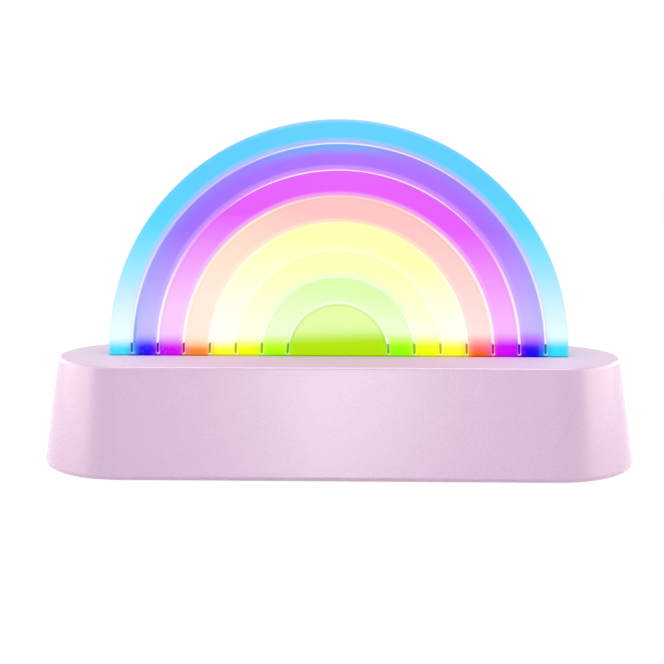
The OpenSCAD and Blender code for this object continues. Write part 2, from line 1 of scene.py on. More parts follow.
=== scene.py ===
"""The looks of the rainbow lamp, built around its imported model.

A clear half disc, parted by arc cuts and lit from below in coloured bands, stands in a pale moulded base
with round ends. The base has a push button and a charging inlet at its back, and a screwed cover with rubber
feet below. Every piece is in metres in the model's own frame: +X runs along the base, -Y is the front, +Z is
up, and the origin is on the surface that the feet stand on. Sizes written in the classes are millimetres.
"""

import logging
import math
from collections.abc import Iterable
from dataclasses import dataclass
from enum import Enum
from typing import Any, TypeAlias

import bmesh
import bpy
from mathutils import Matrix, Vector


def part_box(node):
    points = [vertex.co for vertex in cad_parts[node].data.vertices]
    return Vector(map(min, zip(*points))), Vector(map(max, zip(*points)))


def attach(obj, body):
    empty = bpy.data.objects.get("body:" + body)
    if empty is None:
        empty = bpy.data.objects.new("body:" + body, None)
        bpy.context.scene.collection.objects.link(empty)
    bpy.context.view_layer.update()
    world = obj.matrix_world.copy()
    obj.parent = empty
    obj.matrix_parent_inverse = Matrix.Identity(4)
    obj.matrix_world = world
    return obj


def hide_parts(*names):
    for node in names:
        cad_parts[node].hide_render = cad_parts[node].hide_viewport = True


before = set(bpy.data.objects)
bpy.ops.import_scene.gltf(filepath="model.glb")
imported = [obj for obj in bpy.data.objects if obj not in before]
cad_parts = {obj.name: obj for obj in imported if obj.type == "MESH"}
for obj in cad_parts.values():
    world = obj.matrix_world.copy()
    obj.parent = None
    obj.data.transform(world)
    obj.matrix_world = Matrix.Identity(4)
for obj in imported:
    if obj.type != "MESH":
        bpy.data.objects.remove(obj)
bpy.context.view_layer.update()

MM = 0.001
LOG = logging.getLogger("rainbow_lamp")

Piece = bpy.types.Object
Vert, Edge, Face = bmesh.types.BMVert, bmesh.types.BMEdge, bmesh.types.BMFace
Span = tuple[float, float]
Point = tuple[float, float, float]
Hump = tuple[float, float, float, float]
Value: TypeAlias = "Signal | float"


class Body(Enum):
    """The two bodies that pieces ride on."""

    LAMP = "lamp"
    BUTTON = "button"


class Axis(Enum):
    """The directions that shapes are swung about."""

    ALONG = (1.0, 0.0, 0.0)
    TO_BACK = (0.0, 1.0, 0.0)
    TO_FRONT = (0.0, -1.0, 0.0)
    UP = (0.0, 0.0, 1.0)


@dataclass(frozen=True)
class Colour:
    """A colour in display values from 0 to 255."""

    red: float
    green: float
    blue: float

    def light(self) -> tuple[float, float, float, float]:
        """Returns the colour in linear light, as the shaders take it."""
        shares = (channel / 255 for channel in (self.red, self.green, self.blue))
        return (*(s / 12.92 if s <= 0.04045 else ((s + 0.055) / 1.055) ** 2.4 for s in shares), 1.0)


WHITE = Colour(255, 255, 255)
BLACK = Colour(0, 0, 0)


class Signal:
    """A node's output, as a number or colour that varies over a surface, for use in expressions."""

    def __init__(self, bench: "ShaderBench", socket: bpy.types.NodeSocket) -> None:
        """Keeps the socket and the bench that its node stands on."""
        self.bench = bench
        self.socket = socket

    def __add__(self, other: Value) -> "Signal":
        """Adds."""
        return self.bench.math("ADD", self, other)

    __radd__ = __add__

    def __sub__(self, other: Value) -> "Signal":
        """Subtracts."""
        return self.bench.math("SUBTRACT", self, other)

    def __rsub__(self, other: float) -> "Signal":
        """Subtracts from a number."""
        return self.bench.math("SUBTRACT", other, self)

    def __mul__(self, other: Value) -> "Signal":
        """Multiplies."""
        return self.bench.math("MULTIPLY", self, other)

    __rmul__ = __mul__

    def __truediv__(self, other: Value) -> "Signal":
        """Divides."""
        return self.bench.math("DIVIDE", self, other)

    def __abs__(self) -> "Signal":
        """Drops the sign."""
        return self.bench.math("ABSOLUTE", self)

    def at_least(self, other: Value) -> "Signal":
        """Returns the larger of the two."""
        return self.bench.math("MAXIMUM", self, other)

    def rise(self, low: Value, high: Value, soft: bool = True) -> "Signal":
        """Goes from 0 to 1 while this number goes from low to high, and eases in and out if soft."""
        settings = {"interpolation_type": "SMOOTHSTEP" if soft else "LINEAR"}
        return self.bench.node("ShaderNodeMapRange", settings,
                               {"Value": self, "From Min": low, "From Max": high})

    def fall(self, low: float, high: float) -> "Signal":
        """Goes from 1 to 0 while this number goes from low to high."""
        return 1 - self.rise(low, high)

    def hump(self, begin: float, full: float, fading: float, end: float) -> "Signal":
        """Goes from 0 to 1 between the first two numbers, and back to 0 between the last two."""
        return self.rise(begin, full) * self.fall(fading, end)


class ShaderBench:
    """The node tree of one material or world, and the ways to add to it."""

    def __init__(self, owner: bpy.types.Material | bpy.types.World) -> None:
        """Empties the tree.

        Args:
            owner: The material or world that has it.
        """
        owner.use_nodes = True
        self.tree = owner.node_tree
        self.tree.nodes.clear()

    def node(self, kind: str, settings: dict[str, Any] | None = None,
             sockets: dict[int | str, Any] | None = None, output: int | str = 0) -> Signal | None:
        """Adds a node.

        Args:
            kind: The node's type.
            settings: Its settings, set first. Stops are a ramp's positions and colours, with sharp steps.
            sockets: Its inputs' values, or the signals that they take.
            output: The output that is wanted.

        Returns:
            That output, or nothing from a node without any.
        """
        made = self.tree.nodes.new(kind)
        for key, value in (settings or {}).items():
            if key != "stops":
                setattr(made, key, value)
                continue
            ramp = made.color_ramp
            ramp.interpolation = "CONSTANT"
            while len(ramp.elements) < len(value):
                ramp.elements.new(1.0)
            for element, (position, colour) in zip(ramp.elements, value):
                element.position = position
                element.color = colour.light() if isinstance(colour, Colour) else (*colour, 1.0)
        for key, value in (sockets or {}).items():
            if isinstance(value, Signal):
                self.tree.links.new(value.socket, made.inputs[key])
            else:
                made.inputs[key].default_value = value.light() if isinstance(value, Colour) else value
        return Signal(self, made.outputs[output]) if made.outputs else None

    def math(self, operation: str, *values: Value) -> Signal:
        """Adds a Math node and returns its result."""
        return self.node("ShaderNodeMath", {"operation": operation}, dict(enumerate(values)))

    def vector(self, operation: str, *values: Signal | Point) -> Signal:
        """Adds a Vector Math node and returns its result."""
        return self.node("ShaderNodeVectorMath", {"operation": operation}, dict(enumerate(values)))

    def mix(self, share: Value, first: Signal | Colour, second: Signal | Colour) -> Signal:
        """Mixes a share of a second colour, from 0 to 1, into a first one."""
        return self.node("ShaderNodeMix", {"data_type": "RGBA"}, {0: share, 6: first, 7: second}, 2)

    def parts(self, values: Signal) -> tuple[Signal, ...]:
        """Returns the three numbers that a vector or colour holds."""
        split = self.node("ShaderNodeSeparateXYZ", None, {0: values}).socket.node
        return tuple(Signal(self, out) for out in split.outputs)

    def place(self) -> Signal:
        """Returns the place on the object, in metres in the model's frame."""
        return self.node("ShaderNodeTexCoord", output="Object")

    def millimetres(self) -> tuple[Signal, ...]:
        """Returns the place as three numbers in millimetres."""
        return tuple(part / MM for part in self.parts(self.place()))

    def noise(self, size: float, detail: float = 2.0, stretch: Point = (1.0, 1.0, 1.0)) -> Signal:
        """Returns a noise.

        Args:
            size: The width of its spots in millimetres.
            detail: How many finer layers it has.
            stretch: How much longer the spots are along each axis.

        Returns:
            A number about 0.5.
        """
        scale = tuple(1 / (size * MM * s) for s in stretch)
        where = self.node("ShaderNodeMapping", {"vector_type": "POINT"},
                          {"Vector": self.place(), "Scale": scale})
        return self.node("ShaderNodeTexNoise", None, {"Vector": where, "Scale": 1.0, "Detail": detail})

    def bump(self, height: Signal, depth: float) -> Signal:
        """Returns a normal that follows a height from 0 to 1, with a relief of a depth in millimetres."""
        return self.node("ShaderNodeBump", None, {"Distance": depth * MM, "Height": height})

    def surface(self, **values: Any) -> None:
        """Adds the Principled shader, its inputs named with underscores for spaces, and the output."""
        shader = self.node("ShaderNodeBsdfPrincipled", None,
                           {name.replace("_", " "): value for name, value in values.items()})
        self.node("ShaderNodeOutputMaterial", None, {"Surface": shader})


class Finish:
    """A finish that several pieces may share."""

    name: str

    def paint(self, bench: ShaderBench) -> None:
        """Builds the nodes."""
        raise NotImplementedError

    def dress(self, *pieces: Piece) -> None:
        """Makes the finish's material and gives it to pieces.

        Args:
            *pieces: All the pieces that have it.
        """
        material = bpy.data.materials.new(f"{self.name}_finish")
        self.paint(ShaderBench(material))
        for piece in pieces:
            piece.data.materials.clear()
            piece.data.materials.append(material)


@dataclass(frozen=True)
class TwoTone(Finish):
    """A finish that varies between a colour and a second one."""

    name: str
    colour: Colour
    shade: Colour

    def shift(self, bench: ShaderBench, share: Signal) -> Signal:
        """Returns the colour with a share of the second one in it."""
        return bench.mix(share, self.colour, self.shade)


@dataclass(frozen=True)
class MouldedPlastic(TwoTone):
    """Moulded plastic, faintly clouded, with a fine spark-eroded grain."""

    roughness: float = 0.5
    grain: float = 0.35
    grain_depth: float = 0.012
    gloss: float = 0.5
    cloud: float = 24.0

    def inputs(self, bench: ShaderBench) -> dict[str, Any]:
        """Returns the shader's inputs: the colour, a fine grain, and a gloss that varies a little.

        Args:
            bench: The material's bench.

        Returns:
            The inputs by name.
        """
        cloud, grain = bench.noise(self.cloud, 3.0), bench.noise(self.grain)
        return {"Base_Color": self.shift(bench, cloud), "Specular_IOR_Level": self.gloss,
                "Roughness": self.roughness + 0.06 * (grain - 0.5) + 0.05 * (cloud - 0.5),
                "Normal": bench.bump(grain, self.grain_depth)}

    def paint(self, bench: ShaderBench) -> None:
        """Builds the nodes."""
        bench.surface(**self.inputs(bench))


@dataclass(frozen=True)
class CasePlastic(MouldedPlastic):
    """The base's plastic, polished on its walls, and matt on its top, where painted shade makes the middle
    darker than the paler ends.
    """

    coat: float = 0.3
    matt: float = 0.5
    top_z: Span = (36.85, 37.18)
    # Painted shade: the top's middle, beside the plate, is darker than its ends.
    top_middle_shade: Colour = Colour(194, 163, 191)
    top_ends: Colour = Colour(203, 184, 206)
    outward: Span = (20.0, 76.0)

    def inputs(self, bench: ShaderBench) -> dict[str, Any]:
        """Returns the shader's inputs, with the top's own.

        Args:
            bench: The material's bench.

        Returns:
            The inputs by name.
        """
        walls = super().inputs(bench)
        x, _, z = bench.millimetres()
        on_top = z.rise(*self.top_z)
        # Painted shade on the top: darkest in the middle, fading to the paler ends over the outward span.
        top = bench.mix(abs(x).rise(*self.outward), self.top_middle_shade, self.top_ends)
        return walls | {"Base_Color": bench.mix(on_top, walls["Base_Color"], top),
                        "Roughness": walls["Roughness"] + self.matt * on_top,
                        "Coat_Weight": self.coat * (1 - on_top), "Coat_Roughness": 0.3}


@dataclass(frozen=True)
class PlatedMetal(TwoTone):
    """Plated or drawn metal with fine lines along one axis."""

    roughness: float = 0.32
    lines: Point = (1.0, 1.0, 12.0)
    line_width: float = 0.12
    line_depth: float = 0.004

    def paint(self, bench: ShaderBench) -> None:
        """Builds a streaked colour and roughness."""
        streak = bench.noise(self.line_width, 3.0, self.lines)
        bench.surface(Base_Color=self.shift(bench, bench.noise(1.6).rise(0.3, 0.7)), Metallic=1.0,
                      Roughness=self.roughness + 0.16 * (streak - 0.5),
                      Normal=bench.bump(streak, self.line_depth))


@dataclass(frozen=True)
class SoftRubber(TwoTone):
    """Rubber or silicone: dull, with dust in its pores."""

    roughness: float = 0.75
    pore: float = 0.3
    pore_depth: float = 0.02

    def paint(self, bench: ShaderBench) -> None:
        """Builds a dull colour with fine pores."""
        pores = bench.noise(self.pore, 4.0)
        bench.surface(Base_Color=self.shift(bench, pores.rise(0.35, 0.7)), Specular_IOR_Level=0.3,
                      Roughness=self.roughness + 0.1 * (pores - 0.5),
                      Normal=bench.bump(pores, self.pore_depth))


@dataclass(frozen=True)
class SolderMask(TwoTone):
    """A circuit board: lacquer over copper tracks."""

    pitch: float = 2.6
    track_side: Span = (0.2, 0.3)
    track_height: float = 0.02
    step_length: float = 6.0

    def paint(self, bench: ShaderBench) -> None:
        """Builds tracks under the lacquer from two sets of stepped lines.

        Args:
            bench: The material's bench.
        """
        along, across, _ = bench.millimetres()
        step = bench.noise(self.step_length, 1.0)
        lane = bench.math("PINGPONG", across + 3.0 * step.rise(0.45, 0.55), self.pitch / 2)
        branch = bench.math("PINGPONG", along + 2.0 * step.rise(0.5, 0.6), 2 * self.pitch)
        tracks = lane.fall(*self.track_side).at_least(branch.fall(*self.track_side))
        bench.surface(Base_Color=self.shift(bench, tracks * 0.8), Coat_Weight=0.4,
                      Roughness=0.28 + 0.1 * bench.noise(0.8),
                      Normal=bench.bump(tracks, self.track_height))


@dataclass(frozen=True)
class PouchFoil(TwoTone):
    """The satin foil of a lithium cell, with shallow creases."""

    crease: float = 7.0
    crease_depth: float = 0.25

    def paint(self, bench: ShaderBench) -> None:
        """Builds a creased metal."""
        crease = bench.noise(self.crease, 4.0, (1.0, 2.5, 1.0))
        bench.surface(Base_Color=self.shift(bench, crease), Metallic=0.85,
                      Roughness=0.38 + 0.12 * crease, Normal=bench.bump(crease, self.crease_depth))


@dataclass(frozen=True)
class GoldContacts(TwoTone):
    """Black moulding with a row of gold contacts along X, the second colour."""

    middle: float
    pitch: float = 0.5
    half_gap: Span = (0.08, 0.12)
    row_end: Span = (2.75, 2.8)

    def paint(self, bench: ShaderBench) -> None:
        """Builds stripes of gold across the row.

        Args:
            bench: The material's bench.
        """
        out = bench.millimetres()[0] - self.middle
        stripe = bench.math("PINGPONG", out, self.pitch / 2).rise(*self.half_gap)
        contact = stripe * abs(out).fall(*self.row_end)
        bench.surface(Base_Color=self.shift(bench, contact), Metallic=contact,
                      Roughness=0.5 - 0.25 * contact)


@dataclass(frozen=True)
class LampLens(TwoTone):
    """A lamp package: white case with a clear yellowish filling that glows."""

    glow: float = 0.6

    def paint(self, bench: ShaderBench) -> None:
        """Builds a glow that is uneven like a filled well."""
        cloud = bench.noise(0.9)
        bench.surface(Base_Color=self.shift(bench, cloud), Roughness=0.25 + 0.1 * cloud,
                      Emission_Color=self.shift(bench, 1 - cloud), Emission_Strength=self.glow)


class Shape:
    """A mesh in the making, worked with bmesh operators. Its lengths are millimetres."""

    def __init__(self) -> None:
        """Starts with an empty mesh."""
        self.bm = bmesh.new()

    def point(self, at: Point) -> Vert:
        """Adds a point."""
        return self.bm.verts.new(Vector(at) * MM)

    def line(self, points: Iterable[Point], start: Vert | None = None) -> Vert:
        """Draws straight edges through points.

        Args:
            points: The points, in order.
            start: An earlier point to go on from.

        Returns:
            The last point.
        """
        last = start
        for at in points:
            new = self.point(at)
            if last is not None:
                self.bm.edges.new((last, new))
            last = new
        return last

    def arc(self, start: Vert, centre: Point, axis: Axis, degrees: float, steps: int) -> Vert:
        """Spins a point into an arc.

        Args:
            start: The point.
            centre: A point on the axis.
            axis: The axis.
            degrees: How far to turn.
            steps: The number of edges.

        Returns:
            The arc's end.
        """
        made = bmesh.ops.spin(self.bm, geom=[start], cent=Vector(centre) * MM, axis=axis.value,
                              angle=math.radians(degrees), steps=steps)
        return next(g for g in made["geom_last"] if isinstance(g, Vert))

    def rounded(self, middle: Point, half: Span, r: float, steps: int) -> None:
        """Draws a closed outline with four round corners, in a plane of constant y.

        Args:
            middle: Its middle.
            half: Half its width and half its height.
            r: The radius of its corners.
            steps: The number of edges in each corner.
        """
        x, y, z = middle
        out, up = half[0] - r, half[1] - r
        first = last = None
        for dx, dz in ((0, -1), (1, 0), (0, 1), (-1, 0)):
            centre_x, centre_z = x + (dx - dz) * out, z + (dx + dz) * up
            last = self.line([(centre_x + dx * r, y, centre_z + dz * r)], last)
            first = last if first is None else first
            last = self.arc(last, (centre_x, y, centre_z), Axis.TO_FRONT, 90, steps)
        self.bm.edges.new((last, first))

    def seal(self) -> None:
        """Merges points that lie on each other, closes what is open, and turns the faces outward."""
        bmesh.ops.remove_doubles(self.bm, verts=self.bm.verts, dist=0.001 * MM)
        bmesh.ops.holes_fill(self.bm, edges=[e for e in self.bm.edges if e.is_boundary], sides=0)
        bmesh.ops.recalc_face_normals(self.bm, faces=self.bm.faces)

    def slab(self, along: Axis, depth: float) -> None:
        """Fills the outlines as one flat region with holes, and makes a plate of it.

        Args:
            along: The direction across the plate.
            depth: How far the plate reaches that way.
        """
        self.seal()
        flat = bmesh.ops.triangle_fill(self.bm, use_beauty=True, edges=self.bm.edges, normal=along.value)
        faces = [g for g in flat["geom"] if isinstance(g, Face)]
        made = bmesh.ops.extrude_face_region(self.bm, geom=faces)
        moved = [g for g in made["geom"] if isinstance(g, Vert)]
        bmesh.ops.translate(self.bm, verts=moved, vec=Vector(along.value) * depth * MM)
        self.seal()

    def ease(self, across: Axis, width: float) -> None:
        """Rounds the rims of a plate's two flat sides.

        Args:
            across: The direction from one flat side to the other.
            width: The radius of the rounding.
        """
        near = (1 - math.sqrt(0.5)) * width
        for sign in (-1, 1):
            facing = Vector(across.value) * sign
            flat = [f for f in self.bm.faces if f.normal.dot(facing) > 0.999]
            for thickness, depth in ((near, width - near), (width - near, near)):
                bmesh.ops.inset_region(self.bm, faces=flat, thickness=thickness * MM, depth=depth * MM,
                                       use_boundary=True, use_even_offset=True)

    def sweep_round_ended(self, half_spine: float, steps: int) -> None:
        """Sweeps an outline around a straight spine with round ends, and closes what is left open.

        Args:
            half_spine: Half the spine's length. The outline stands at its +X end and points to -Y.
            steps: The number of facets in each half turn.
        """
        geom: list[Any] = [*self.bm.verts, *self.bm.edges]
        for end in (half_spine, -half_spine):
            spun = bmesh.ops.spin(self.bm, geom=geom, cent=Vector((end, 0, 0)) * MM, axis=Axis.UP.value,
                                  angle=math.pi, steps=steps)
            edges = [g for g in spun["geom_last"] if isinstance(g, Edge)]
            run = bmesh.ops.extrude_edge_only(self.bm, edges=edges)
            geom = [g for g in run["geom"] if not isinstance(g, Face)]
            moved = [g for g in geom if isinstance(g, Vert)]
            bmesh.ops.translate(self.bm, verts=moved, vec=Vector((-2 * end, 0, 0)) * MM)
        self.seal()

    def piece(self, name: str) -> Piece:
        """Makes the mesh an object.

        Args:
            name: The piece's name.

        Returns:
            The object, at the origin.
        """
        mesh = bpy.data.meshes.new(name)
        self.bm.to_mesh(mesh)
        self.bm.free()
        made = bpy.data.objects.new(name, mesh)
        bpy.context.scene.collection.objects.link(made)
        return made


def settle(piece: Piece) -> None:
    """Applies a piece's modifiers to its mesh.

    Args:
        piece: The piece.
    """
    bpy.context.view_layer.update()
    shaped = piece.evaluated_get(bpy.context.evaluated_depsgraph_get())
    mesh = bpy.data.meshes.new_from_object(shaped)
    piece.modifiers.clear()
    piece.data = mesh


def cut_away(piece: Piece, tools: Iterable[Piece]) -> None:
    """Takes tools' shapes out of a piece, and deletes the tools.

    Args:
        piece: The piece to cut.
        tools: Closed shapes.
    """
    for tool in tools:
        cut = piece.modifiers.new("cut", "BOOLEAN")
        cut.operation = "DIFFERENCE"
        cut.solver = "EXACT"
        cut.object = tool
        settle(piece)
        bpy.data.objects.remove(tool)


def mount(piece: Piece, body: Body, finish: Finish, node: str, sharp: float = 60.0) -> None:
    """Shades a piece smoothly and puts it on its body, in place of its node.

    Its large faces rule its normals, so that flat walls stay flat up to their roundings.

    Args:
        piece: The piece.
        body: The body that it rides on.
        finish: Its finish.
        node: The node that it stands for.
        sharp: The angle in degrees from which an edge stays sharp.
    """
    work = bmesh.new()
    work.from_mesh(piece.data)
    for edge in work.edges:
        edge.smooth = edge.is_manifold and edge.calc_face_angle(0.0) < math.radians(sharp)
    for face in work.faces:
        face.smooth = True
    work.to_mesh(piece.data)
    work.free()
    weighted = piece.modifiers.new("even_shading", "WEIGHTED_NORMAL")
    weighted.keep_sharp = True
    settle(piece)
    finish.dress(piece)
    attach(piece, body.value)
    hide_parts(node)
    LOG.info("%s: %d faces, for %s", piece.name, len(piece.data.polygons), node)


@dataclass
class BaseCase:
    """The moulded base with round ends: walls, top with the plate's slot, and the recess at its back."""

    half_spine: float = 70.0
    low_z: float = 0.8
    top_z: float = 37.2
    low_r: float = 30.0
    up_r: float = 24.5
    wall: float = 2.4
    ceiling_z: float = 34.4
    top_round: float = 1.2
    low_round: float = 1.5
    slot_half: Span = (75.45, 4.15)
    panel_y: float = 26.625
    recess_half: Span = (23.0, 6.5)
    recess_round: float = 2.0
    recess_reach: float = 10.0
    backing_half: float = 26.0
    backing_z: Span = (4.1, 22.83)
    backing_y: float = 40.0
    port_x: float = 11.0
    port_z: float = 13.33
    button_hole_r: float = 4.68
    inlet_half: Span = (4.97, 2.13)
    spare: float = 1.0
    facets: int = 72
    corner_steps: int = 8
    finish: Finish = CasePlastic("base_plastic", Colour(201, 170, 201), Colour(199, 168, 199),
                                 roughness=0.27, grain_depth=0.003, gloss=0.7)

    def _body(self) -> Piece:
        """Builds the outside as one closed body, with both edges rounded.

        Returns:
            The body.
        """
        tilt = math.atan2(self.low_r - self.up_r, self.top_z - self.low_z)
        lean, along, across = math.degrees(tilt), math.sin(tilt), math.cos(tilt)
        low_y = self.low_r - self.low_round * (1 + along) / across
        up_y = self.up_r - self.top_round * (1 - along) / across
        x, up_z = self.half_spine, self.top_z - self.top_round
        shape = Shape()
        end = shape.arc(shape.point((x, -low_y, self.low_z)), (x, -low_y, self.low_z + self.low_round),
                        Axis.ALONG, -(90 + lean), self.corner_steps)
        up = shape.line([(x, -up_y - self.top_round * across, up_z + self.top_round * along)], end)
        shape.arc(up, (x, -up_y, up_z), Axis.ALONG, -(90 - lean), self.corner_steps)
        shape.sweep_round_ended(x, self.facets)
        return shape.piece("base_case")

    def _hollow(self) -> Piece:
        """Builds the inside as a closed body, narrowed where the back wall is thicker.

        Returns:
            The body.
        """
        shape = Shape()
        slope = (self.low_r - self.up_r) / (self.top_z - self.low_z)
        shape.line([(self.half_spine, self.wall - self.low_r + slope * (z - self.low_z), z)
                    for z in (self.low_z - self.spare, self.ceiling_z)])
        shape.sweep_round_ended(self.half_spine, self.facets)
        hollow = shape.piece("hollow")
        low, high = self.backing_z
        cut_away(hollow, [self._block((-self.backing_half, self.panel_y - self.wall, low),
                                      (self.backing_half, self.backing_y, high))])
        return hollow

    @staticmethod
    def _block(low: Point, high: Point) -> Piece:
        """Builds a box to cut with.

        Args:
            low: Its lowest corner.
            high: Its highest corner.

        Returns:
            The box.
        """
        shape = Shape()
        size, middle = Vector(high) - Vector(low), (Vector(low) + Vector(high)) / 2
        place = Matrix.Translation(middle * MM) @ Matrix.Diagonal([*(size * MM), 1])
        bmesh.ops.create_cube(shape.bm, size=1.0, matrix=place)
        return shape.piece("block")

    def _openings(self) -> list[Piece]:
        """Builds the shapes of the recess, the button's hole and the inlet's opening.

        Returns:
            The shapes.
        """
        made = []
        r, before, after = self.button_hole_r, self.wall + self.spare, self.spare
        for x, half, round_r, steps, begin, end in (
                (0, self.recess_half, self.recess_round, 8, 0, self.recess_reach),
                (-self.port_x, (r, r), r, 16, -before, after),
                (self.port_x, self.inlet_half, self.inlet_half[1], 12, -before, after)):
            shape = Shape()
            shape.rounded((x, self.panel_y + begin, self.port_z), half, round_r, steps)
            shape.slab(Axis.TO_BACK, end - begin)
            made.append(shape.piece("opening"))
        return made

    def build(self) -> None:
        """Builds the case and puts it in place."""
        case = self._body()
        x, y = self.slot_half
        slot = self._block((-x, -y, self.ceiling_z - self.spare), (x, y, self.top_z + self.spare))
        cut_away(case, [self._hollow(), slot, *self._openings()])
        mount(case, Body.LAMP, self.finish, "base_shell", 30.0)


@dataclass(frozen=True)
class Band:
    """One lit band of the plate, with heights over the base in millimetres.

    Attributes:
        name: Its name.
        glow: Its colour along the arch.
        haze: Its palest colour, low down.
        foot: Its colour at the lamps below.
        foot_end: Where the foot gives way to the haze, on the right.
        haze_right: Where the haze gives way to the glow, on the right.
        haze_left: The same on the left.
        line: How strong the pale line of the cut around it is, low and high, and its painted shadow edge.
    """

    name: str
    glow: Colour
    haze: Colour
    foot: Colour
    foot_end: Span
    haze_right: Span
    haze_left: Span
    line: Point = (0.0, 0.0, 0.0)


@dataclass(frozen=True)
class Flush:
    """A tint that a band has in one place, with heights over the base in millimetres.

    Attributes:
        band: The band's name.
        share: How strong it is.
        colour: Its colour.
        heights: Where it begins, is full, begins to fade, and ends.
        fade: The places along the plate between which it fades away.
    """

    band: str
    share: float
    colour: Colour
    heights: Hump
    fade: Span


LEFT, RIGHT, BOTH = (-14.0, 14.0), (14.0, -14.0), (90.0, 91.0)
BANDS = (
    Band("leaf_disc", Colour(226, 251, 166), Colour(225, 250, 163), Colour(180, 230, 4),
         (4.2, 10.5), (9, 12), (9, 12), (0.6, 0.6, 0.17)),
    Band("leaf", Colour(220, 254, 176), Colour(236, 253, 206), Colour(152, 253, 7),
         (3.5, 8.5), (11, 21), (12, 24), (0.5, 0.75, 0.04)),
    Band("lime", Colour(249, 254, 185), Colour(254, 254, 226), Colour(244, 254, 34),
         (3.2, 8.4), (9, 28), (9, 30), (0.35, 0.3, 0.02)),
    Band("lemon", Colour(254, 252, 178), Colour(254, 255, 240), Colour(252, 253, 58),
         (2.6, 7.2), (11, 30), (12, 40), (0.35, 0.0, 0.02)),
    Band("salmon", Colour(253, 195, 194), Colour(254, 226, 221), Colour(252, 100, 46),
         (2.4, 8.4), (9, 46), (20, 50), (0.75, 0.0, 0.06)),
    Band("orchid", Colour(230, 98, 252), Colour(247, 181, 252), Colour(212, 14, 246),
         (3.1, 8.9), (13, 42), (17, 48), (0.8, 0.15, 0.15)),
    Band("violet", Colour(176, 114, 254), Colour(201, 182, 253), Colour(46, 18, 244),
         (3.4, 9.2), (13.5, 42), (13.5, 42), (0.8, 0.4, 0.12)),
    Band("sky", Colour(98, 206, 254), Colour(227, 251, 254), Colour(66, 222, 250),
         (2.7, 7.2), (9.2, 44), (9.2, 44)),
)

FLUSHES = (
    Flush("salmon", 0.45, Colour(254, 150, 0), (-1.0, 0.0, 1.5, 5.0), LEFT),
    Flush("salmon", 0.42, Colour(254, 240, 190), (2.0, 4.0, 5.5, 8.5), LEFT),
    Flush("salmon", 0.18, Colour(252, 165, 240), (1.0, 3.0, 4.5, 7.5), RIGHT),
    Flush("violet", 0.4, Colour(226, 112, 252), (2.0, 6.0, 6.5, 9.0), RIGHT),
    Flush("leaf", 0.36, Colour(236, 254, 60), (0.0, 3.0, 5.0, 7.5), LEFT),
    Flush("leaf", 0.25, Colour(236, 254, 60), (2.5, 4.5, 6.0, 8.0), RIGHT),
    Flush("sky", 0.3, Colour(90, 238, 254), (16.0, 36.0, 42.0, 62.0), BOTH),
)


